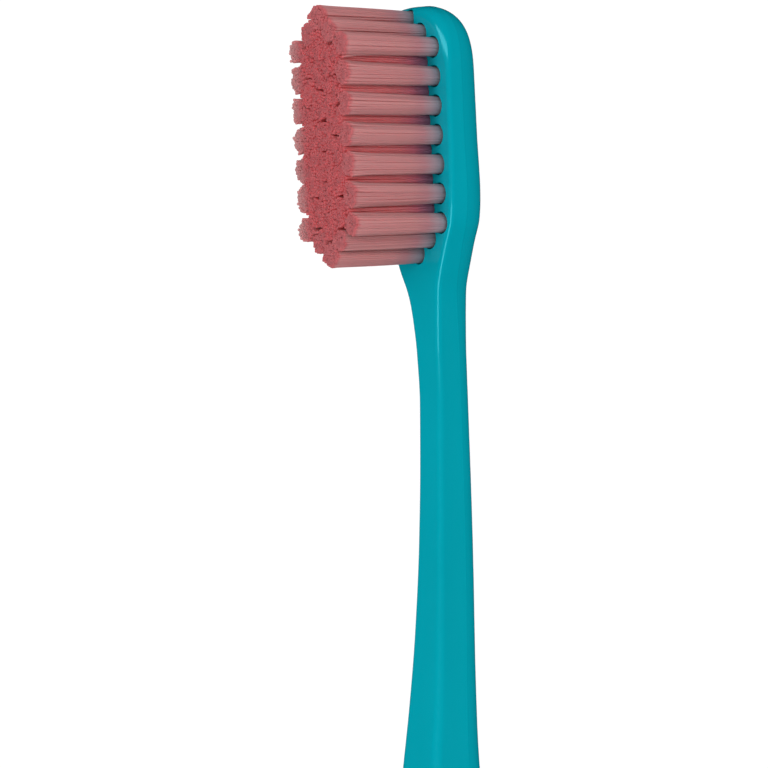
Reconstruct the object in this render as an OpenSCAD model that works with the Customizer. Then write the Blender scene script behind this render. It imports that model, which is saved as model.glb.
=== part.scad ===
// Manual toothbrush with a one-piece moulded handle and a 39-tuft flat-trimmed head.
// Millimetres. The brush lies on its back: +X runs along the handle to the tip of the head,
// +Y is the left-hand side and +Z is the way the bristles point.
// The origin is under the middle of the brush, in the plane of the grip's flat back.

/* [Overall] */
// Length from the butt to the tip of the head
total_len = 176; // [168:1:190]

/* [Head] */
// Widest part of the head
head_w = 11.2; // [11:0.1:12]
// Distance from the tip of the head to the middle of the tuft pattern
head_reach = 11.25; // [11.2:0.05:12]
// Height of the tufted face above the resting plane, at the middle of the pattern
face_h = 7.4; // [7.2:0.1:8]
// Angle between the tufted face and the grip, in degrees
head_tilt = 3.1; // [2.4:0.1:3.8]
// Fullness of the plan of the head's tip, where 2 is an ellipse
tip_fullness = 2.6; // [2.2:0.1:3]

/* [Neck] */
// Width of the neck at its narrowest
neck_w = 3.34; // [3.2:0.02:4]

/* [Grip] */
// Width of the grip
grip_w = 9.9; // [9.4:0.1:11]
// Thickness of the grip
grip_t = 9; // [8.6:0.1:9.6]

/* [Tufts] */
// Diameter of a tuft and of its blind hole
tuft_d = 1.74; // [1.5:0.02:1.76]
// Diameter of a tuft at its trimmed end
tuft_tip_d = 1.96; // [1.8:0.02:2.04]
// Distance between tufts along a row
tuft_pitch = 2.5; // [2.4:0.02:2.5]
// Distance between rows
row_pitch = 1.75; // [1.72:0.01:1.8]
// Free length of the bristles, from the face of the head to the flat trim, at the middle of the pattern
bristle_len = 9.5; // [7:0.1:11]
// Slope of the flat trim, which makes the bristles longer at the tip of the head than at the neck, in degrees
trim_tilt = 1; // [0:0.1:1.5]
// Depth of the tuft holes
hole_depth = 2.4; // [2.3:0.1:2.5]
// Lean of the two outer rows away from the middle, in degrees
fan_across = 0; // [0:0.1:5]
// Lean of the end tufts of the middle row away from the middle, in degrees
fan_along = 1.5; // [0:0.1:2]
// Lean of every tuft towards the tip, in degrees
lean_tip = 1.6; // [0:0.1:2]

/* [Anchors] */
// Length of the flat metal anchor, a little more than the hole, so that it bites into the wall
anchor_l = 1.92; // [1.86:0.02:1.96]
// Thickness of the anchor
anchor_t = 0.26; // [0.2:0.02:0.3]
// Height of the anchor
anchor_h = 1.2; // [1:0.1:1.4]
// Thickness of the folded bristles below the anchor
fold_t = 0.35; // [0.3:0.05:0.45]
// Angle of the anchors to the length of the brush, in degrees
anchor_angle = 27; // [20:1:34]

/* [Hidden] */

handle_colour = [0.0, 0.60, 0.66];
bristle_colour = [0.74, 0.42, 0.44];
anchor_colour = [0.80, 0.70, 0.42];

tip_x = total_len / 2;          // the tip of the head is at +X, the butt at -X
slope = tan(head_tilt);
face_end = 22.6;                // the flat tufted face ends here, measured from the tip
kh = head_w / 11.2;
kn = neck_w / 3.34;
kg = grip_w / 9.9;
kt = grip_t / 9;
// stations behind the neck move with the length of the brush
function far(s) = 60 + (s - 60) * (total_len - 60) / 116;

// Each table gives [distance from the tip, value].
// Half width of the outline, before its ends are rounded off
width_table = [
    [0, 5.65 * kh], [6, 5.6 * kh], [11.2, 5.5 * kh], [17, 5.22 * kh], [18.5, 5 * kh], [20.7, 4 * kh],
    [22.6, 3.2 * kh], [24.6, 2.42 * kn], [27, 2.02 * kn], [30, 1.77 * kn], [38, 1.67 * kn],
    [46, 1.77 * kn], [54, 2.07 * kn], [60, 2.4 * kn], [far(70), 3 * kg], [far(80), 3.8 * kg],
    [far(90), 4.5 * kg], [far(104), 4.95 * kg], [far(120), 4.95 * kg], [far(140), 4.75 * kg],
    [far(158), 4.85 * kg], [total_len, 4.7 * kg]
];
// Height of the front, behind the flat face of the head
front_table = [
    [face_end, face(face_end)], [25.7, face_h - 1.03], [30, face_h - 1.38], [34, face_h - 1.6],
    [40, face_h - 1.6], [46, face_h - 1.52], [54, face_h - 1.24], [60, face_h - 0.84],
    [far(66), 7.14 * kt], [far(74), 7.8 * kt], [far(84), 8.4 * kt], [far(94), 8.8 * kt],
    [far(108), 9 * kt], [far(125), 8.9 * kt], [far(145), 8.7 * kt], [far(160), 8.6 * kt],
    [far(170), 8 * kt], [total_len, 7.1 * kt]
];
// Height of the back
back_table = [
    [0, 4.5], [5, 4], [11.2, 3.5], [17.7, 2.94], [22.5, 2.96], [26, 2.7], [30, 2.45], [36, 2.13],
    [42, 1.9], [50, 1.76], [57, 1.74], [62, 1.66], [far(67), 1.4], [far(74), 0.9], [far(82), 0.35],
    [far(88), 0.06], [far(93), -0.02], [far(120), -0.02], [far(160), -0.02], [far(168), 0.3],
    [total_len, 1.4]
];
// Radius of the front edge
front_edge_table = [
    [0, 1.15], [2, 1.05], [6, 0.5], [18, 0.45], [26, 0.5], [40, 0.5], [54, 0.6], [far(66), 0.8],
    [far(80), 1.3], [far(95), 2], [total_len, 2.2]
];
// Rounding of the back, across the brush and in height
back_across_table = [
    [0, 1.5], [3, 1.75], [8, 1.95], [17, 2], [24, 1.3], [30, 1.15], [45, 1.15], [54, 1.35], [far(66), 1.8],
    [far(80), 2.4], [far(95), 2.8], [total_len, 2.8]
];
back_height_table = [
    [0, 1.9], [2, 2.1], [6, 2.38], [17, 2.5], [24, 1.8], [30, 1.35], [45, 1.4], [54, 1.6], [far(66), 2.1],
    [far(80), 2.8], [far(95), 3.4], [total_len, 3.4]
];

// Height of the flat tufted face
function face(s) = face_h + (head_reach - s) * slope;

// Smooth curve through a table that never overshoots its points
function step(t, i) = t[i + 1][0] - t[i][0];
function rise(t, i) = (t[i + 1][1] - t[i][1]) / step(t, i);
function tangent(t, i) =
    i == 0 ? rise(t, 0)
    : i == len(t) - 1 ? rise(t, i - 1)
    : rise(t, i - 1) * rise(t, i) <= 0 ? 0
    : let (a = 2 * step(t, i) + step(t, i - 1), b = step(t, i) + 2 * step(t, i - 1))
      (a + b) / (a / rise(t, i - 1) + b / rise(t, i));
function seek(t, s, i = 0) = i >= len(t) - 2 || s < t[i + 1][0] ? i : seek(t, s, i + 1);
function hermite(y0, y1, m0, m1, h, u) =
    (2 * u * u * u - 3 * u * u + 1) * y0 + (u * u * u - 2 * u * u + u) * h * m0
    + (3 * u * u - 2 * u * u * u) * y1 + (u * u * u - u * u) * h * m1;
function curve(t, s_in) =
    let (s = min(max(s_in, t[0][0]), t[len(t) - 1][0]), i = seek(t, s), h = step(t, i))
    hermite(t[i][1], t[i + 1][1], tangent(t, i), tangent(t, i + 1), h, (s - t[i][0]) / h);
// the front leaves the flat face tangentially
function front(s) =
    s < face_end ? face(s)
    : s < front_table[1][0]
        ? let (h = step(front_table, 0))
          hermite(front_table[0][1], front_table[1][1], -slope, tangent(front_table, 1), h, (s - face_end) / h)
        : curve(front_table, s);

// Outline in plan: [distance from the tip, half width], with superelliptic ends
tip_len = 6;
butt_len = 6;
butt_fullness = 2.3;
tip_steps = 12;
butt_steps = 8;
function ends(a, m) = [1 - pow(cos(a), 2 / m), pow(sin(a), 2 / m)];
outline = concat(
    [for (i = [0 : tip_steps]) let (e = ends(90 * i / tip_steps, tip_fullness), s = tip_len * e[0])
        [s, curve(width_table, s) * e[1]]],
    [for (s = [7 : 1.25 : 17]) [s, curve(width_table, s)]],
    [for (s = [17.6 : 0.8 : 29.7]) [s, curve(width_table, s)]],
    [for (s = [31 : 2.6 : 60]) [s, curve(width_table, s)]],
    [for (k = [62 : 3 : 101]) let (s = far(k)) [s, curve(width_table, s)]],
    [for (k = [108 : 9 : 163]) let (s = far(k)) [s, curve(width_table, s)]],
    [for (i = [butt_steps : -1 : 0]) let (e = ends(90 * i / butt_steps, butt_fullness), s = total_len - butt_len * e[0])
        [s, curve(width_table, s) * e[1]]]
);
last = len(outline) - 1;

// Outward normal of the outline at a station
function across(i) =
    i == 0 ? [-1, 0]
    : i == last ? [1, 0]
    : let (t = outline[i + 1] - outline[i - 1]) [-t[1], t[0]] / norm(t);

// Half section at a station, from the front round the side to the back:
// [inset from the outline, measured from the front (0) or the back (1), distance from it]
edge_steps = 4;
back_steps = 7;
function half_section(s) =
    let (rf = curve(front_edge_table, s), ra = curve(back_across_table, s), rh = curve(back_height_table, s))
    concat(
        [for (k = [0 : edge_steps]) let (a = 90 - 90 * k / edge_steps) [rf * (1 - cos(a)), 0, rf * (1 - sin(a))]],
        [for (k = [0 : back_steps]) let (a = 90 * k / back_steps) [ra * (1 - cos(a)), 1, rh * (1 - sin(a))]]
    );
half_n = edge_steps + back_steps + 2;
function ring(i, side) =
    let (o = outline[i], n = across(i))
    [for (p = half_section(o[0]))
        let (s = o[0] - p[0] * n[0], w = (i == 0 || i == last) ? 0 : o[1] - p[0] * n[1])
        [tip_x - s, side * w, p[1] == 0 ? front(s) - p[2] : curve(back_table, s) + p[2]]];

// The handle's skin: a seam down each end in the plane of symmetry, and closed rings between them.
// A ring runs down the right-hand side and back up the left-hand side.
module skin() {
    m = 2 * half_n;
    points = concat(
        ring(0, 1),
        [for (i = [1 : last - 1]) each concat(ring(i, -1), [for (k = [half_n - 1 : -1 : 0]) ring(i, 1)[k]])],
        ring(last, 1)
    );
    first = half_n;                                   // index of the first full ring
    tail = half_n + (last - 1) * m;                   // index of the last seam
    function at(i, k) = first + (i - 1) * m + (k % m);
    function mirror_k(k) = m - 1 - k;
    faces = concat(
        // tip
        [for (k = [0 : half_n - 2]) each [[k, k + 1, at(1, k + 1)], [k, at(1, k + 1), at(1, k)]]],
        [for (k = [0 : half_n - 2]) each [[k + 1, k, at(1, mirror_k(k))], [k + 1, at(1, mirror_k(k)), at(1, mirror_k(k + 1))]]],
        [[0, at(1, 0), at(1, m - 1)], [half_n - 1, at(1, half_n), at(1, half_n - 1)]],
        // body
        [for (i = [1 : last - 2], k = [0 : m - 1])
            each [[at(i, k), at(i, k + 1), at(i + 1, k + 1)], [at(i, k), at(i + 1, k + 1), at(i + 1, k)]]],
        // butt
        [for (k = [0 : half_n - 2]) each [[tail + k + 1, tail + k, at(last - 1, k)], [tail + k + 1, at(last - 1, k), at(last - 1, k + 1)]]],
        [for (k = [0 : half_n - 2]) each [[tail + k, tail + k + 1, at(last - 1, mirror_k(k + 1))], [tail + k, at(last - 1, mirror_k(k + 1)), at(last - 1, mirror_k(k))]]],
        [[tail, at(last - 1, m - 1), at(last - 1, 0)], [tail + half_n - 1, at(last - 1, half_n - 1), at(last - 1, half_n)]]
    );
    polyhedron(points = points, faces = faces, convexity = 6);
}

// Tuft pattern: five staggered rows. Row -2 is the right outer row and row 2 the left outer row.
// Tuft 1 of each row is the one nearest the tip.
function row_count(row) = 9 - abs(row);
function tuft_x(row, n) = ((row_count(row) + 1) / 2 - n) * tuft_pitch;

// Puts its children at a tuft, with Z along the tuft and zero in the face of the head
module at_tuft(row, n) {
    x = tuft_x(row, n);
    translate([tip_x - head_reach, 0, face_h]) rotate([0, -head_tilt, 0])
        translate([x, row * row_pitch, 0])
            rotate([-fan_across * row / 2, fan_along * x / 10 + lean_tip, 0]) children();
}

module anchor_plate(row, n) {
    at_tuft(row, n) translate([0, 0, -hole_depth + fold_t]) rotate([0, 0, anchor_angle])
        translate([-anchor_l / 2, -anchor_t / 2, 0]) cube([anchor_l, anchor_t, anchor_h]);
}

// Handle: head, neck and grip moulded in one, with a blind hole for each tuft
module handle() {
    color(handle_colour) difference() {
        skin();
        // flat back of the grip, which the brush lies on
        translate([-tip_x - 5, -10, -5]) cube([total_len + 10, 20, 5]);
        for (row = [-2 : 2], n = [1 : row_count(row)]) {
            at_tuft(row, n) translate([0, 0, -hole_depth]) cylinder(d = tuft_d, h = hole_depth + 1.5, $fn = 32);
            anchor_plate(row, n);
        }
    }
}

// One tuft: a bundle of filaments folded over its anchor, as one solid with a slot for the anchor
module tuft(row, n) {
    color(bristle_colour) difference() {
        at_tuft(row, n) rotate_extrude($fn = 32) polygon([
            [0, -hole_depth], [tuft_d / 2, -hole_depth], [tuft_d / 2, 0],
            [tuft_tip_d / 2, bristle_len], [tuft_tip_d / 2, bristle_len + 1], [0, bristle_len + 1]
        ]);
        // flat trim of all the tufts
        translate([tip_x - head_reach, 0, face_h]) rotate([0, -head_tilt, 0])
            translate([0, 0, bristle_len]) rotate([0, -trim_tilt, 0]) translate([-20, -10, 0]) cube([40, 20, 5]);
        anchor_plate(row, n);
    }
}

// The anchors of one row: identical flat metal plates, each a separate solid
module anchors(row) {
    color(anchor_colour) for (n = [1 : row_count(row)]) anchor_plate(row, n);
}

handle();
tuft(-2, 1);  // tuft_right_outer_1
tuft(-2, 2);  // tuft_right_outer_2
tuft(-2, 3);  // tuft_right_outer_3
tuft(-2, 4);  // tuft_right_outer_4
tuft(-2, 5);  // tuft_right_outer_5
tuft(-2, 6);  // tuft_right_outer_6
tuft(-2, 7);  // tuft_right_outer_7
tuft(-1, 1);  // tuft_right_inner_1
tuft(-1, 2);  // tuft_right_inner_2
tuft(-1, 3);  // tuft_right_inner_3
tuft(-1, 4);  // tuft_right_inner_4
tuft(-1, 5);  // tuft_right_inner_5
tuft(-1, 6);  // tuft_right_inner_6
tuft(-1, 7);  // tuft_right_inner_7
tuft(-1, 8);  // tuft_right_inner_8
tuft(0, 1);  // tuft_centre_1
tuft(0, 2);  // tuft_centre_2
tuft(0, 3);  // tuft_centre_3
tuft(0, 4);  // tuft_centre_4
tuft(0, 5);  // tuft_centre_5
tuft(0, 6);  // tuft_centre_6
tuft(0, 7);  // tuft_centre_7
tuft(0, 8);  // tuft_centre_8
tuft(0, 9);  // tuft_centre_9
tuft(1, 1);  // tuft_left_inner_1
tuft(1, 2);  // tuft_left_inner_2
tuft(1, 3);  // tuft_left_inner_3
tuft(1, 4);  // tuft_left_inner_4
tuft(1, 5);  // tuft_left_inner_5
tuft(1, 6);  // tuft_left_inner_6
tuft(1, 7);  // tuft_left_inner_7
tuft(1, 8);  // tuft_left_inner_8
tuft(2, 1);  // tuft_left_outer_1
tuft(2, 2);  // tuft_left_outer_2
tuft(2, 3);  // tuft_left_outer_3
tuft(2, 4);  // tuft_left_outer_4
tuft(2, 5);  // tuft_left_outer_5
tuft(2, 6);  // tuft_left_outer_6
tuft(2, 7);  // tuft_left_outer_7
anchors(-2);  // anchors_right_outer
anchors(-1);  // anchors_right_inner
anchors(0);  // anchors_centre
anchors(1);  // anchors_left_inner
anchors(2);  // anchors_left_outer
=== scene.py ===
import math

import bpy
import numpy as np
from mathutils import Matrix, Vector
from mathutils.geometry import delaunay_2d_cdt


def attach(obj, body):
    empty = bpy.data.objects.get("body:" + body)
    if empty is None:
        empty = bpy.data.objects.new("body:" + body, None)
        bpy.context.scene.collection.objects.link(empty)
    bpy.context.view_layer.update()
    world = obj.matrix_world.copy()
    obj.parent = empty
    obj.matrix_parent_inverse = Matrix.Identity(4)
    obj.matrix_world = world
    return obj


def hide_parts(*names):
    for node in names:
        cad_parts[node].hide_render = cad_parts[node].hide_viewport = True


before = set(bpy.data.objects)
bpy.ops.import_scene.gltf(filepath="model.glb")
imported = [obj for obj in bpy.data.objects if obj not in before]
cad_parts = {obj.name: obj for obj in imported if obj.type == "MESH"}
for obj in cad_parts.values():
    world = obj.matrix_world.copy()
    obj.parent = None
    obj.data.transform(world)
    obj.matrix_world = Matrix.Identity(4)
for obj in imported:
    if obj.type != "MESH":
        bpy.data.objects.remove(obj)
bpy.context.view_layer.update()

MM = 0.001
scene = bpy.context.scene
scene.view_settings.view_transform = "Standard"
scene.view_settings.look = "None"

# ---------------------------------------------------------------- sizes, in mm, as the CAD has them
LEN = 176.0
TIP_X = LEN / 2
REACH = 11.25                   # tip of the head to the middle of the tuft pattern
FACE_H = 7.4                    # height of the tufted face at that point
TILT = math.radians(3.1)
SLOPE = math.tan(TILT)
FACE_END = 22.6
TIP_LEN, TIP_FULL = 6.0, 2.6
BUTT_LEN, BUTT_FULL = 6.0, 2.3
TUFT_R, TUFT_TIP_R, FLARE = 0.80, 0.97, 0.06
PITCH, ROW = 2.5, 1.75
BRISTLE = 9.5
FAN_Y, FAN_X, LEAN = 0.0, 1.5, 1.6
TRIM = math.radians(1.0)        # the tufts get shorter by this slope from the tip of the head to the neck
SHORT = {"centre_1": 0.15, "left_inner_1": 0.3, "left_outer_1": 0.1, "left_outer_2": 0.15, "left_inner_8": 0.1}


def face(s):
    return FACE_H + (REACH - s) * SLOPE


WIDTH = [(0, 5.65), (6, 5.6), (11.2, 5.5), (17, 5.22), (18.5, 5), (20.7, 4), (22.6, 3.2), (24.6, 2.42), (27, 2.02), (30, 1.77),
         (38, 1.67), (46, 1.77), (54, 2.07), (60, 2.4), (70, 3), (80, 3.8), (90, 4.5), (104, 4.95), (120, 4.95), (140, 4.75),
         (158, 4.85), (176, 4.7)]
FRONT = [(FACE_END, face(FACE_END)), (25.7, 6.37), (30, 6.02), (34, 5.8), (40, 5.8), (46, 5.88), (54, 6.16), (60, 6.56),
         (66, 7.14), (74, 7.8), (84, 8.4), (94, 8.8), (108, 9), (125, 8.9), (145, 8.7), (160, 8.6), (170, 8), (176, 7.1)]
BACK = [(0, 4.5), (5, 4), (11.2, 3.5), (17.7, 2.94), (22.5, 2.96), (26, 2.7), (30, 2.45), (36, 2.13), (42, 1.9), (50, 1.76),
        (57, 1.74), (62, 1.66), (67, 1.4), (74, 0.9), (82, 0.35), (88, 0.06), (93, 0), (120, 0), (160, 0), (168, 0.3), (176, 1.4)]
EDGE = [(0, 1.15), (2, 1.05), (6, 0.5), (18, 0.45), (26, 0.5), (40, 0.5), (54, 0.6), (66, 0.8),
        (80, 1.3), (95, 2), (176, 2.2)]
BACK_A = [(0, 1.5), (3, 1.75), (8, 1.95), (17, 2), (24, 1.3), (30, 1.15), (45, 1.15), (54, 1.35), (66, 1.8), (80, 2.4), (95, 2.8), (176, 2.8)]
BACK_H = [(0, 1.9), (2, 2.1), (6, 2.38), (17, 2.5), (24, 1.8), (30, 1.35), (45, 1.4), (54, 1.6), (66, 2.1), (80, 2.8), (95, 3.4), (176, 3.4)]


class Curve:
    """A smooth curve through a table that never overshoots its points."""

    def __init__(self, table, first=None):
        self.x = np.array([t[0] for t in table], float)
        self.y = np.array([t[1] for t in table], float)
        self.h = np.diff(self.x)
        d = np.diff(self.y) / self.h
        m = np.zeros(len(self.x))
        for i in range(1, len(m) - 1):
            if d[i - 1] * d[i] > 0:
                a = 2 * self.h[i] + self.h[i - 1]
                b = self.h[i] + 2 * self.h[i - 1]
                m[i] = (a + b) / (a / d[i - 1] + b / d[i])
        m[0], m[-1] = d[0] if first is None else first, d[-1]
        self.m = m

    def __call__(self, s):
        s = min(max(s, self.x[0]), self.x[-1])
        i = int(min(max(np.searchsorted(self.x, s, side="right") - 1, 0), len(self.h) - 1))
        h, t = self.h[i], (s - self.x[i]) / self.h[i]
        return ((2 * t**3 - 3 * t**2 + 1) * self.y[i] + (t**3 - 2 * t**2 + t) * h * self.m[i]
                + (3 * t**2 - 2 * t**3) * self.y[i + 1] + (t**3 - t**2) * h * self.m[i + 1])


width, back, edge = Curve(WIDTH), Curve(BACK), Curve(EDGE)
back_a, back_h = Curve(BACK_A), Curve(BACK_H)
front_c = Curve(FRONT, first=-SLOPE)


def front(s):
    return face(s) if s < FACE_END else front_c(s)


# ---------------------------------------------------------------- camera, at the photograph's viewing angle
def make_camera():
    th, roll, elev = math.radians(35.0), math.radians(-0.141), math.radians(0.767)
    dist, k = 420.0, 11.653                       # mm, and photo pixels per mm at the middle of the head
    target = np.array([76.8, 0.0, 7.4])
    tx, ty = 412.8, 136.45                        # where that point is in the 768 x 768 picture
    X, Y, Z = np.eye(3)
    b = -math.cos(th) * Y + math.sin(th) * Z
    rt = -math.cos(th) * Z - math.sin(th) * Y
    b2 = math.cos(elev) * b - math.sin(elev) * X
    up2 = math.cos(elev) * X + math.sin(elev) * b
    rt3 = math.cos(roll) * rt + math.sin(roll) * up2
    up3 = -math.sin(roll) * rt + math.cos(roll) * up2
    f = k * dist
    ox, oy = (tx - 384) / f * dist, -(ty - 384) / f * dist
    centre = target - ox * rt3 - oy * up3 + dist * b2
    cam = bpy.data.cameras.new("camera")
    cam.sensor_fit = "HORIZONTAL"
    cam.sensor_width = 36.0
    cam.lens = f / 768 * 36.0
    cam.clip_start, cam.clip_end = 0.01, 20
    ob = bpy.data.objects.new("camera", cam)
    m = Matrix([[rt3[i], up3[i], b2[i], centre[i] * MM] for i in range(3)] + [[0, 0, 0, 1]])
    scene.collection.objects.link(ob)
    ob.matrix_world = m
    scene.camera = ob


make_camera()


# ---------------------------------------------------------------- nodes and materials
def material(name):
    m = bpy.data.materials.new(name)
    m.use_nodes = True
    nt = m.node_tree
    nt.nodes.clear()
    out = nt.nodes.new("ShaderNodeOutputMaterial")
    bsdf = nt.nodes.new("ShaderNodeBsdfPrincipled")
    nt.links.new(bsdf.outputs[0], out.inputs[0])
    return m, nt, bsdf


def node(nt, kind, **values):
    n = nt.nodes.new(kind)
    for k, v in values.items():
        setattr(n, k, v)
    return n


def noise(nt, coords, scale, detail=3.0, rough=0.5):
    n = node(nt, "ShaderNodeTexNoise")
    n.inputs["Scale"].default_value = scale
    n.inputs["Detail"].default_value = detail
    n.inputs["Roughness"].default_value = rough
    nt.links.new(coords, n.inputs["Vector"])
    return n.outputs["Fac"]


def ramp(nt, fac, stops):
    r = node(nt, "ShaderNodeValToRGB")
    e = r.color_ramp.elements
    e[0].position, e[0].color = stops[0][0], (*stops[0][1], 1)
    e[1].position, e[1].color = stops[-1][0], (*stops[-1][1], 1)
    for p, c in stops[1:-1]:
        x = e.new(p)
        x.color = (*c, 1)
    nt.links.new(fac, r.inputs["Fac"])
    return r.outputs["Color"]


def spread(nt, fac, lo, hi, a=0.3, b=0.7):
    r = node(nt, "ShaderNodeMapRange")
    r.inputs["From Min"].default_value, r.inputs["From Max"].default_value = a, b
    r.inputs["To Min"].default_value, r.inputs["To Max"].default_value = lo, hi
    nt.links.new(fac, r.inputs["Value"])
    return r.outputs["Result"]


def bump(nt, height, strength, distance, normal=None):
    n = node(nt, "ShaderNodeBump")
    n.inputs["Strength"].default_value = strength
    n.inputs["Distance"].default_value = distance
    nt.links.new(height, n.inputs["Height"])
    if normal is not None:
        nt.links.new(normal, n.inputs["Normal"])
    return n.outputs["Normal"]


def stretched(nt, scale):
    t = node(nt, "ShaderNodeTexCoord")
    m = node(nt, "ShaderNodeMapping")
    m.inputs["Scale"].default_value = scale
    nt.links.new(t.outputs["Object"], m.inputs["Vector"])
    return m.outputs["Vector"]


def handle_material():
    m, nt, p = material("teal_gloss_plastic")
    flow = noise(nt, stretched(nt, (0.25, 1, 1)), 260, 4, 0.55)        # faint flow of the pigment along the moulding
    nt.links.new(ramp(nt, flow, [(0.3, (0.0, 0.278, 0.345)), (0.5, (0.0, 0.286, 0.356)), (0.7, (0.0, 0.294, 0.367))]), p.inputs["Base Color"])
    fine = noise(nt, stretched(nt, (1, 1, 1)), 1400, 3, 0.6)
    nt.links.new(spread(nt, fine, 0.10, 0.14), p.inputs["Roughness"])
    orange = noise(nt, stretched(nt, (0.5, 1, 1)), 700, 2, 0.5)
    nt.links.new(bump(nt, orange, 0.10, 0.00002), p.inputs["Normal"])
    p.inputs["Specular IOR Level"].default_value = 0.5
    p.inputs["Specular Tint"].default_value = (0.22, 0.9, 1.0, 1)
    return m


def bristle_material():
    m, nt, p = material("pink_filament")
    along = node(nt, "ShaderNodeAttribute", attribute_name="along").outputs["Fac"]      # 0 at the face of the head, 1 at the trimmed end
    shade = node(nt, "ShaderNodeAttribute", attribute_name="shade").outputs["Fac"]      # one value for each filament
    within = node(nt, "ShaderNodeAttribute", attribute_name="within").outputs["Fac"]    # 1 for a tuft among others, less at the outside
    # painted shade and light: for tufts at the outside the colour turns dark, grey and bluish toward the face of the
    # head, for the shade at the tufts' feet and the teal light thrown up by the plastic; the pink further up is the
    # filaments' own colour, and the trimmed ends are painted a deeper red for light passing between the filaments
    outer = ramp(nt, along, [(0.0, (0.28, 0.300, 0.340)), (0.03, (0.38, 0.370, 0.440)), (0.10, (0.50, 0.385, 0.440)), (0.20, (0.54, 0.300, 0.330)),
                             (0.35, (0.61, 0.330, 0.335)), (0.8, (0.640, 0.345, 0.348)), (0.96, (0.65, 0.355, 0.358)), (1.0, (0.53, 0.175, 0.190))])
    # painted shade and light: tufts among others get a dark purple foot for the shade between the tufts, and a stronger
    # red along their length for light that has passed through the filaments around them
    inner = ramp(nt, along, [(0.0, (0.52, 0.310, 0.500)), (0.10, (0.78, 0.335, 0.510)), (0.20, (0.92, 0.360, 0.480)),
                             (0.35, (0.98, 0.410, 0.450)), (0.8, (0.99, 0.430, 0.445)), (0.95, (0.90, 0.320, 0.335)), (1.0, (0.50, 0.205, 0.225))])
    length = node(nt, "ShaderNodeMix", data_type="RGBA")
    nt.links.new(within, length.inputs[0])
    nt.links.new(outer, length.inputs[6])
    nt.links.new(inner, length.inputs[7])
    rim = node(nt, "ShaderNodeAttribute", attribute_name="rim").outputs["Fac"]          # 1 at the left-hand edge of the pattern, where the light gets through
    # colour of the light that the nylon lets through, its own red, painted darker toward the face of the head as shade
    passed = ramp(nt, along, [(0.0, (0.40, 0.100, 0.170)), (0.2, (0.88, 0.190, 0.245)), (0.5, (0.98, 0.270, 0.280)), (0.97, (0.99, 0.270, 0.285)), (1.0, (0.98, 0.250, 0.265))])
    tint = ramp(nt, shade, [(0.0, (0.88, 0.84, 0.85)), (0.5, (1.0, 1.0, 1.0)), (1.0, (1.10, 1.14, 1.12))])
    mix = node(nt, "ShaderNodeMix", data_type="RGBA", blend_type="MULTIPLY")
    mix.inputs[0].default_value = 1.0
    # painted light: tufts at the left-hand edge of the pattern are painted a lighter pink for the light that gets
    # through them from behind
    lit = node(nt, "ShaderNodeMix", data_type="RGBA")
    nt.links.new(rim, lit.inputs[0])
    nt.links.new(length.outputs[2], lit.inputs[6])
    lit.inputs[7].default_value = (0.62, 0.42, 0.42, 1)
    nt.links.new(lit.outputs[2], mix.inputs[6])
    nt.links.new(tint, mix.inputs[7])
    nt.links.new(mix.outputs[2], p.inputs["Base Color"])
    p.inputs["Specular IOR Level"].default_value = 0.3
    streak = noise(nt, stretched(nt, (1, 1, 0.2)), 3000, 2, 0.5)
    nt.links.new(spread(nt, streak, 0.42, 0.55), p.inputs["Roughness"])
    through = node(nt, "ShaderNodeBsdfTranslucent")                                     # the nylon lets some light through
    # painted light: the light let through is painted lighter at the left-hand edge of the pattern too
    lit = node(nt, "ShaderNodeMix", data_type="RGBA")
    nt.links.new(rim, lit.inputs[0])
    nt.links.new(passed, lit.inputs[6])
    lit.inputs[7].default_value = (0.94, 0.46, 0.46, 1)
    nt.links.new(lit.outputs[2], through.inputs["Color"])
    both = node(nt, "ShaderNodeMixShader")
    nt.links.new(spread(nt, within, 0.46, 0.62, 0.0, 1.0), both.inputs[0])
    nt.links.new(p.outputs[0], both.inputs[1])
    nt.links.new(through.outputs[0], both.inputs[2])
    out = next(n for n in nt.nodes if n.type == "OUTPUT_MATERIAL")
    nt.links.new(both.outputs[0], out.inputs[0])
    return m


def anchor_material():
    m, nt, p = material("anchor_strip")
    grain = noise(nt, stretched(nt, (0.2, 1, 1)), 6000, 3, 0.6)
    nt.links.new(ramp(nt, grain, [(0.3, (0.50, 0.40, 0.20)), (0.7, (0.64, 0.53, 0.29))]), p.inputs["Base Color"])
    nt.links.new(spread(nt, grain, 0.28, 0.42), p.inputs["Roughness"])
    p.inputs["Metallic"].default_value = 1.0
    return m


TEAL, PINK, BRASS = handle_material(), bristle_material(), anchor_material()


# ---------------------------------------------------------------- tuft pattern
ROWS = [(-2, "right_outer"), (-1, "right_inner"), (0, "centre"), (1, "left_inner"), (2, "left_outer")]
EX = np.array([math.cos(TILT), 0.0, math.sin(TILT)])
EY = np.array([0.0, 1.0, 0.0])
EZ = np.array([-math.sin(TILT), 0.0, math.cos(TILT)])
MID = np.array([TIP_X - REACH, 0.0, FACE_H])


def tufts():
    """(name, x, y, direction) of every tuft, with x and y in the face of the head, and the direction in head axes."""
    rng = np.random.default_rng(7)
    for row, name in ROWS:
        count = 9 - abs(row)
        for n in range(1, count + 1):
            x, y = ((count + 1) / 2 - n) * PITCH, row * ROW
            ay, ax = math.radians(FAN_Y * row / 2), math.radians(FAN_X * x / 10 + LEAN)
            ax += math.radians(-0.65 * max(row, 0) + rng.normal(0, 0.35) * (row > -2))      # tufts never stand quite alike
            ay += math.radians(rng.normal(0, 0.3) * (row > -2))
            yield f"{name}_{n}", x, y, np.array([math.cos(ay) * math.sin(ax), math.sin(ay), math.cos(ay) * math.cos(ax)])


TUFTS = list(tufts())


def head_to_frame(p):
    p = np.atleast_2d(p)
    return MID + p[:, :1] * EX + p[:, 1:2] * EY + p[:, 2:3] * EZ


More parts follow.
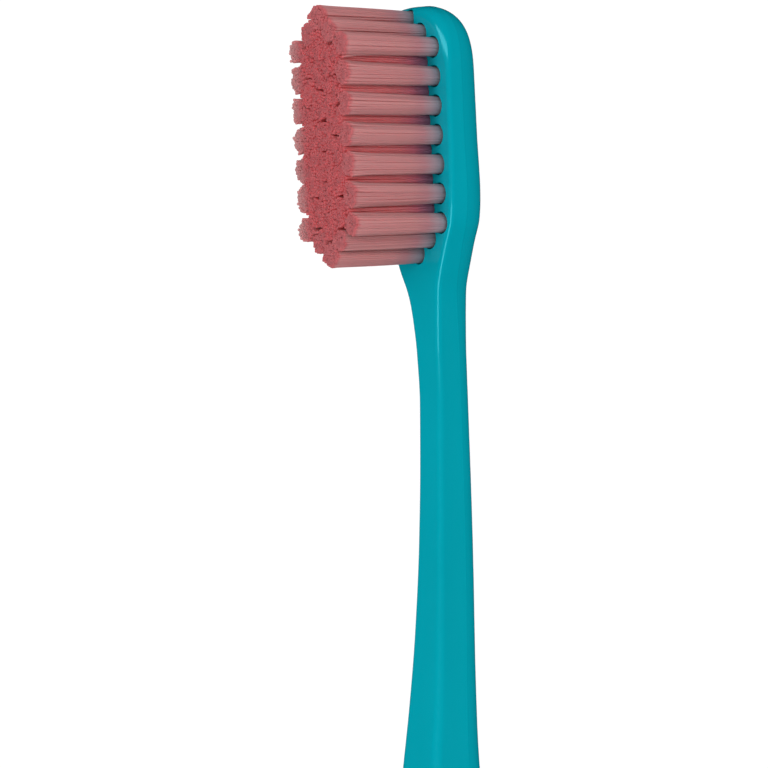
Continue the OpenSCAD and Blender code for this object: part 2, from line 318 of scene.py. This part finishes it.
def make_object(name, verts, faces, mat, normals=None, sharp=None):
    me = bpy.data.meshes.new(name)
    me.from_pydata([tuple(v) for v in np.asarray(verts) * MM], [], faces)
    me.materials.append(mat)
    me.polygons.foreach_set("use_smooth", [True] * len(me.polygons))
    me.update()
    ob = bpy.data.objects.new(name, me)
    scene.collection.objects.link(ob)
    return ob


# ---------------------------------------------------------------- handle: the moulding's skin, with its parting line and lipped holes
EDGE_N, BACK_N, COLS = 9, 18, 8
DRAFT = 0.05
A0 = math.radians(5)


def half_section(s):
    """(inset from the outline, "f" or "b", distance from the front or the back) down one side."""
    rf, ra, rh = edge(s), back_a(s), back_h(s)
    pts = []
    for k in range(EDGE_N + 1):
        a = math.radians(90 - 90 * k / EDGE_N)
        pts.append((DRAFT + rf * (1 - math.cos(a)), "f", rf * (1 - math.sin(a))))
    # down to the parting line, which stands just proud of the surface
    pts.append((DRAFT * 0.5, "m", 0.5))
    for inset, dz in ((0.003, 0.09), (0.0, 0.045), (-0.008, 0.016), (-0.008, -0.016), (0.003, -0.045)):
        pts.append((inset, "b", rh + dz))
    s0, c0 = math.sin(A0), math.cos(A0)
    for k in range(1, BACK_N + 1):
        a = A0 + (math.pi / 2 - A0) * k / BACK_N
        pts.append((0.003 + (ra - 0.003) * (c0 - math.cos(a)) / c0, "b", rh * (1 - (math.sin(a) - s0) / (1 - s0)) - (0.045 if k < 1 else 0)))
    return pts


def stations():
    out = []
    for i in range(33):
        a = math.radians(90 * i / 32)
        s = TIP_LEN * (1 - math.cos(a) ** (2 / TIP_FULL))
        out.append((s, width(s) * math.sin(a) ** (2 / TIP_FULL)))
    body = np.concatenate([np.arange(6.4, 17, 0.45), np.arange(17.0, FACE_END - 0.1, 0.3), [FACE_END], np.arange(22.9, 31, 0.35),
                           np.arange(31.5, 62, 0.8), np.arange(63, 100, 1.2), np.arange(101, 169.5, 2.5)])
    out += [(float(s), width(s)) for s in body]
    for i in range(24, -1, -1):
        a = math.radians(90 * i / 24)
        s = LEN - BUTT_LEN * (1 - math.cos(a) ** (2 / BUTT_FULL))
        out.append((s, width(s) * math.sin(a) ** (2 / BUTT_FULL)))
    return np.array(out)


def make_handle():
    st = stations()
    n = len(st)
    verts, normals_fixed = [], {}
    half = []                                     # half[i][side] is the list of vertex numbers down that side
    for i, (s0, w0) in enumerate(st):
        if i == 0:
            nrm = (-1.0, 0.0)
        elif i == n - 1:
            nrm = (1.0, 0.0)
        else:
            t = st[i + 1] - st[i - 1]
            nrm = (-t[1] / np.hypot(*t), t[0] / np.hypot(*t))
        sec = half_section(s0)
        sides = []
        for side in (-1, 1):
            ids = []
            for inset, ref, dz in sec:
                s, w = s0 - inset * nrm[0], max(w0 - inset * nrm[1], 0.0)
                if i in (0, n - 1):
                    w = 0.0
                if ref == "f":
                    z = front(s) - dz
                elif ref == "b":
                    z = back(s) + dz
                else:
                    rf, rh = edge(s0), back_h(s0)
                    z = 0.5 * (front(s) - rf + back(s) + rh + 0.09)
                ids.append(len(verts))
                verts.append((TIP_X - s, side * w, z))
            sides.append(ids)
            if i in (0, n - 1):
                sides.append(ids)
                break
        half.append(sides)
    m = len(half[0][0])
    faces = []

    def quad(a, b, c, d):
        q = [a, b, c, d]
        q = [v for j, v in enumerate(q) if v != q[j - 1]]
        if len(q) >= 3:
            faces.append(q)

    i_face = int(np.argmin(abs(st[:, 0] - FACE_END)))
    for i in range(n - 1):
        for k in range(EDGE_N if i < i_face else 0, m - 1):
            a, b = half[i][0], half[i + 1][0]
            quad(a[k], a[k + 1], b[k + 1], b[k])
            a, b = half[i][1], half[i + 1][1]
            quad(a[k + 1], a[k], b[k], b[k + 1])

    # the back, between the two sides, and the front behind the flat face
    def chord(i, k):
        l, r = half[i][0][k], half[i][1][k]
        if l == r:
            return [l] * (COLS + 1)
        ids = [l]
        p, q = np.array(verts[l]), np.array(verts[r])
        for j in range(1, COLS):
            ids.append(len(verts))
            verts.append(tuple(p + (q - p) * j / COLS))
        return ids + [r]

    fronts = {i: chord(i, 0) for i in range(i_face, n)}
    backs = {i: chord(i, m - 1) for i in range(n)}
    for i in range(n - 1):
        for j in range(COLS):
            quad(backs[i][j], backs[i][j + 1], backs[i + 1][j + 1], backs[i + 1][j])
            if i >= i_face:
                quad(fronts[i + 1][j], fronts[i + 1][j + 1], fronts[i][j + 1], fronts[i][j])

    # the flat tufted face and its rounded edge, with a hole for each tuft
    outline = []
    for i in range(i_face + 12):
        for t in np.arange(0, 1, 0.05):
            outline.append(st[i] * (1 - t) + st[i + 1] * t)
    outline = np.array(outline)

    def drop(s, w):
        """How far the rounded edge has fallen below the flat at one point."""
        dist = np.hypot(outline[:, 0] - s, outline[:, 1] - abs(w))
        j = int(np.argmin(dist))
        r = edge(outline[j, 0])
        u = r - (dist[j] - DRAFT)
        return 0.0 if u <= 0 else r - math.sqrt(max(r * r - u * u, 0.0))

    hole_xy = np.array([[MID[0] + x * EX[0], y] for _, x, y, _ in TUFTS])
    LIP = 1.0

    def clear(p, q):
        """True if the segment from p to q stays out of every hole."""
        for t in np.linspace(0, 1, 5):
            c = p * (1 - t) + q * t
            if np.hypot(*(hole_xy - c).T).min() < LIP + 0.012:
                return False
        return True

    flat2 = lambda v: np.array(verts[v][:2])
    loop = [half[i][0][EDGE_N] for i in range(i_face + 1)] + half[i_face][0][EDGE_N - 1:0:-1] + fronts[i_face]
    loop += half[i_face][1][1:EDGE_N] + [half[i][1][EDGE_N] for i in range(i_face, 0, -1)]
    owner = list(loop)
    place = {v: j for j, v in enumerate(loop)}
    edges_ = [(j, (j + 1) % len(loop)) for j in range(len(loop))]

    def use(v):
        if v not in place:
            place[v] = len(owner)
            owner.append(v)
        return place[v]

    keep = {}
    for i in range(i_face):
        for side in (0, 1):
            for k in range(EDGE_N):
                v = half[i][side][k]
                keep[v] = np.hypot(*(hole_xy - flat2(v)).T).min() > LIP + 0.03
                if keep[v]:
                    use(v)
    for i in range(i_face):
        for side in (0, 1):
            for k in range(EDGE_N):
                v, w = half[i][side][k], half[i + 1][side][k]
                if keep.get(v) and keep.get(w, True) and v != w and clear(flat2(v), flat2(w)):
                    edges_.append((use(v), use(w)))

    SIDES = 40
    rim_of = {}
    # lip and wall of a hole: (radius, height over the surface)
    profile = [(LIP, 0.0), (0.985, 0.005), (0.968, 0.009), (0.952, 0.003), (0.940, -0.014), (0.934, -0.05),
               (0.915, -0.35), (0.89, -0.9), (0.870, -1.3), (0.870, -2.32)]
    for name, x, y, d in TUFTS:
        rings = [[] for _ in profile]
        for j in range(SIDES):
            a = 2 * math.pi * j / SIDES
            for ring, (r, h) in zip(rings, profile):
                rim = head_to_frame([x + r * math.cos(a), y + r * math.sin(a), 0])[0]
                dz = drop(TIP_X - rim[0], rim[1])
                if h < -0.02:
                    dz = first
                first = dz
                hh = h * (2.32 - dz) / 2.32 - dz
                c = np.array([x, y]) + d[:2] / d[2] * h
                ring.append(len(verts))
                verts.append(tuple(head_to_frame([c[0] + r * math.cos(a), c[1] + r * math.sin(a), hh])[0]))
        for a, b in zip(rings, rings[1:]):
            for j in range(SIDES):
                k = (j + 1) % SIDES
                faces.append([a[j], a[k], b[k], b[j]])
        faces.append(list(rings[-1]))
        ids = [use(v) for v in rings[0]]
        rim_of.update((v, name) for v in rings[0])
        edges_ += [(ids[j], ids[(j + 1) % SIDES]) for j in range(SIDES)]
    pts = [Vector(verts[v][:2]) for v in owner]
    out_v, _, out_f, orig_v, _, _ = delaunay_2d_cdt(pts, edges_, [], 1, 1e-5)
    number = []
    for v, o in zip(out_v, orig_v):
        if not o:
            raise RuntimeError(f"the outline of the face crosses a hole at {v}")
        number.append(owner[o[0]])
    for f in out_f:
        f = [number[v] for v in f]
        if len({rim_of.get(v, v) for v in f}) > 1:            # not the lid of a hole
            faces.append(f)
    ob = make_object("handle_moulding", verts, faces, TEAL)
    bm_fix(ob.data)
    return ob


def bm_fix(me):
    import bmesh
    bm = bmesh.new()
    bm.from_mesh(me)
    bmesh.ops.recalc_face_normals(bm, faces=bm.faces)
    loose = [v for v in bm.verts if not v.link_faces]
    bmesh.ops.delete(bm, geom=loose, context="VERTS")
    open_edges = sum(1 for e in bm.edges if len(e.link_faces) != 2)
    print(me.name, "edges without two faces:", open_edges)
    bm.to_mesh(me)
    bm.free()


handle = make_handle()
mod = handle.modifiers.new("weighted", "WEIGHTED_NORMAL")
mod.mode = "FACE_AREA"
mod.weight = 50
mod.keep_sharp = True
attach(handle, "root")
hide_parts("handle")


# ---------------------------------------------------------------- bristles: every filament of every tuft
FIL_R = 0.1
SIDES_F = 8
RINGS = [(0.0, 1), (0.15, 6), (0.295, 12), (0.44, 19), (0.58, 26), (TUFT_R - FIL_R, 35)]


def packed(rng):
    """Where the filaments of a tuft stand in its hole: close rings, with a little disorder."""
    pts = []
    for r, count in RINGS:
        turn = rng.uniform(0, 2 * math.pi)
        for i in range(count):
            a = turn + 2 * math.pi * (i + rng.normal(0, 0.12)) / count
            q = r + rng.normal(0, 0.012)
            pts.append((q * math.cos(a), q * math.sin(a)))
    return np.array(pts)


def ripple(rng, p, size, waves=5):
    """Smooth random values over a tuft, so that neighbouring filaments move together."""
    out = np.zeros(len(p))
    for _ in range(waves):
        a = rng.uniform(0, 2 * math.pi)
        out += np.sin(p @ np.array([math.cos(a), math.sin(a)]) * 2 * math.pi / (size * rng.uniform(0.7, 1.5)) + rng.uniform(0, 2 * math.pi))
    return out * math.sqrt(2 / waves)


def make_tuft(name, x, y, d, seed, side_x, side_y):
    """side_x and side_y are 1 or -1 for a tuft at the outside of the pattern on that side, which keeps to its hole there."""
    rng = np.random.default_rng(seed)
    base = packed(rng)
    n = len(base)
    rad = np.linalg.norm(base, axis=1)
    out = base / np.maximum(rad, 0.05)[:, None]
    reach = rad / RINGS[-1][0]
    twist = rng.normal(0, 0.06)
    c, s = math.cos(twist), math.sin(twist)
    swell = (TUFT_TIP_R + (0 if side_y < 0 else -0.02 if side_y else 0.02 if side_x else 0.07) - FIL_R + rng.normal(0, 0.02)) / RINGS[-1][0]
    tip = base @ np.array([[c, s], [-s, c]]) * swell
    tip += np.stack([ripple(rng, base, 0.9), ripple(rng, base, 0.9)], 1) * 0.02
    if not side_y:
        u = tip / np.maximum(np.linalg.norm(tip, axis=1), 0.05)[:, None]
        tip *= (1 + reach ** 2 * (0.07 * u[:, 0] ** 2 + 0.16 * np.abs(u[:, 1]) ** 8))[:, None]
    flare = tip * (FLARE * (0 if side_y < 0 else 1) + rng.normal(0, 0.02)) / (TUFT_TIP_R - FIL_R) + rng.normal(0, 0.02, base.shape) * np.where(reach > 0.9, 2.2, 1)[:, None]
    flare += out * (reach ** 3 * np.abs(ripple(rng, base, 0.8)) * 0.06)[:, None]
    stray = rng.random(n) < 0.08
    flare += np.where(stray[:, None], out * rng.uniform(0.03, 0.20, n)[:, None] + rng.normal(0, 0.05, base.shape), 0)
    for axis, side, hold in ((0, side_x, 0.9), (1, side_y, 0.85)):
        if side:
            q = tip[:, axis] * side
            tip[:, axis] = side * np.where(q > 0, q * hold, q)
            q = flare[:, axis] * side
            flare[:, axis] = side * np.where(q > 0, q * (0.9 if axis and side > 0 else 0.3), q)
    height = BRISTLE - 0.05 - SHORT.get(name, 0) + math.tan(TRIM) * x + rng.normal(0, 0.03) + ripple(rng, base, 0.85) * 0.06 + rng.normal(0, 0.015, n) * np.where(reach > 0.9, 3, 1)
    height -= np.where(rng.random(n) < 0.05, rng.uniform(0.05, 0.2, n), 0)
    wave = rng.normal(0, 0.012, (n, 2))
    bend = rng.uniform(1.9, 2.7, n)
    shade = np.clip(0.5 + 0.13 * ripple(rng, base, 0.6) + rng.normal(0, 0.13, n), 0, 1)

    down = np.array([-0.8, -0.35, 0.0])
    up = np.array([0.08, 0.2, 0.36, 0.54, 0.70, 0.81, 0.89, 0.95, 1.0])
    rows = len(down) + len(up)
    path = np.zeros((rows, n, 3))
    along = np.zeros((rows, n))
    slope = d[:2] / d[2]
    for k, h in enumerate(down):
        path[k, :, :2] = np.array([x, y]) + slope * h + base * (1 + 0.02 * h)
        path[k, :, 2] = h
    for k, t in enumerate(up):
        r = len(down) + k
        h = (height - FIL_R) * t
        e = 1 - (1 - t) ** bend
        q = base * (1 - e)[:, None] + tip * e[:, None] + wave * math.sin(math.pi * t) + flare * t ** 6
        path[r, :, :2] = np.array([x, y]) + slope * h[:, None] + q
        path[r, :, 2] = h
        along[r] = t
    # tube round each path, closed by a rounded end
    ang = np.arange(SIDES_F) * 2 * math.pi / SIDES_F
    circle = np.stack([np.cos(ang), np.sin(ang), 0 * ang], 1)
    fil_r = FIL_R * rng.normal(1, 0.04, n)
    levels = [(path[r], 1.0, along[r]) for r in range(rows)]
    end = path[-1]
    direction = path[-1] - path[-2]
    direction /= np.linalg.norm(direction, axis=1)[:, None]
    dome = rng.uniform(0.20, 0.32, n)
    for a in (32, 60):
        levels.append((end + direction * (fil_r * dome * math.sin(math.radians(a)))[:, None], math.cos(math.radians(a)), np.ones(n)))
    L = len(levels)
    V = np.zeros((n, L * SIDES_F + 1, 3))
    A = np.zeros((n, L * SIDES_F + 1))
    for k, (c3, scale, al) in enumerate(levels):
        blunt = 1 + 0.24 * np.minimum(al, 1.0) ** 12                                     # the cut ends are a little blunted
        V[:, k * SIDES_F:(k + 1) * SIDES_F] = c3[:, None, :] + circle[None] * (fil_r * scale * blunt)[:, None, None]
        A[:, k * SIDES_F:(k + 1) * SIDES_F] = al[:, None]
    V[:, -1] = end + direction * (fil_r * dome)[:, None]
    A[:, -1] = 1
    per = V.shape[1]
    one = []
    for k in range(L - 1):
        for j in range(SIDES_F):
            q = (j + 1) % SIDES_F
            one.append([k * SIDES_F + j, k * SIDES_F + q, (k + 1) * SIDES_F + q, (k + 1) * SIDES_F + j])
    one += [[(L - 1) * SIDES_F + j, (L - 1) * SIDES_F + (j + 1) % SIDES_F, per - 1] for j in range(SIDES_F)]
    one.append(list(range(SIDES_F))[::-1])
    faces = [[v + i * per for v in f] for i in range(n) for f in one]
    ob = make_object("bristles_" + name, head_to_frame(V.reshape(-1, 3)), faces, PINK)
    me = ob.data
    me.attributes.new("along", "FLOAT", "POINT").data.foreach_set("value", A.reshape(-1).astype(np.float32))
    me.attributes.new("shade", "FLOAT", "POINT").data.foreach_set("value", np.repeat(shade, per).astype(np.float32))
    # within picks the painted colours: shaded, bluish feet for tufts at the outside, stronger painted red for tufts
    # among others, half way for the far row
    me.attributes.new("within", "FLOAT", "POINT").data.foreach_set("value", np.full(n * per, 0.0 if side_y < 0 or side_x and not side_y else 0.5 if side_y > 0 else 1.0, np.float32))
    # how much painted light from behind each filament gets, at the left-hand edge of the pattern
    rim = np.clip((y + tip[:, 1] - 2.9) / 1.4, 0, 1)
    me.attributes.new("rim", "FLOAT", "POINT").data.foreach_set("value", np.repeat(rim, per).astype(np.float32))
    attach(ob, "root")
    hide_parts("tuft_" + name)
    return ob


for k, (name, x, y, d) in enumerate(TUFTS):
    last = (8 - round(abs(y / ROW))) * PITCH / 2
    side_x = round(x / last) if abs(x) > last - 0.1 else 0
    side_y = round(y / abs(y)) if abs(y) > 1.5 * ROW or side_x and abs(y) > 0.5 * ROW else 0
    make_tuft(name, x, y, d, 1000 + k, side_x, side_y)

for row, name in ROWS:
    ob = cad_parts["anchors_" + name]
    ob.data.materials.clear()
    ob.data.materials.append(BRASS)


# ---------------------------------------------------------------- floor, light
def plain(name, colour, emission):
    m, nt, p = material(name)
    p.inputs["Base Color"].default_value = (*colour, 1)
    p.inputs["Roughness"].default_value = 0.9
    p.inputs["Specular IOR Level"].default_value = 0.0
    p.inputs["Emission Color"].default_value = (1, 1, 1, 1)
    p.inputs["Emission Strength"].default_value = emission
    return m


me = bpy.data.meshes.new("floor")
S = 3.0
me.from_pydata([(-S, -S, -0.00005), (S, -S, -0.00005), (S, S, -0.00005), (-S, S, -0.00005)], [], [(0, 1, 2, 3)])
me.materials.append(plain("floor", (0.05, 0.05, 0.05), 1.0))
floor = bpy.data.objects.new("floor", me)
scene.collection.objects.link(floor)
floor.visible_diffuse = floor.visible_glossy = floor.visible_shadow = False


def softbox(name, direction, dist, w, h, radiance, glossy):
    """A rectangular light facing the head. It either lights the plastic or shines in it, so that the two are set apart."""
    d = Vector(direction).normalized()
    l = bpy.data.lights.new(name, "AREA")
    l.shape = "RECTANGLE"
    l.size, l.size_y = w, h
    l.energy = radiance * math.pi * w * h
    ob = bpy.data.objects.new(name, l)
    scene.collection.objects.link(ob)
    at = Vector((0.06, 0, 0.006)) + d * dist
    x = Vector((1, 0, 0))
    x = (x - d * x.dot(d)).normalized()
    y = d.cross(x)
    ob.matrix_world = Matrix(((x.x, y.x, d.x, at.x), (x.y, y.y, d.y, at.y), (x.z, y.z, d.z, at.z), (0, 0, 0, 1)))
    ob.visible_camera = False
    ob.visible_glossy = glossy
    ob.visible_diffuse = not glossy


softbox("shine_tip", (0.44, -0.21, 0.875), 0.6, 0.22, 0.70, 4.9, True)
softbox("shine_neck", (-0.45, -0.51, 0.73), 0.6, 0.42, 0.22, 5.4, True)
softbox("fill", (0.10, -0.81, 0.57), 0.8, 0.5, 0.5, 1.6, False)
softbox("fill_far", (0.0, 0.81, 0.57), 0.8, 0.5, 0.5, 0.5, False)
softbox("top", (0.05, -0.34, 0.94), 0.8, 0.6, 0.6, 2.8, False)
softbox("low", (0.0, -0.87, -0.5), 0.8, 0.5, 0.5, 1.55, False)

world = bpy.data.worlds.new("studio")
scene.world = world
world.use_nodes = True
bg = world.node_tree.nodes["Background"]
bg.inputs["Color"].default_value = (1, 1, 1, 1)
bg.inputs["Strength"].default_value = 0.71
world.cycles_visibility.glossy = False
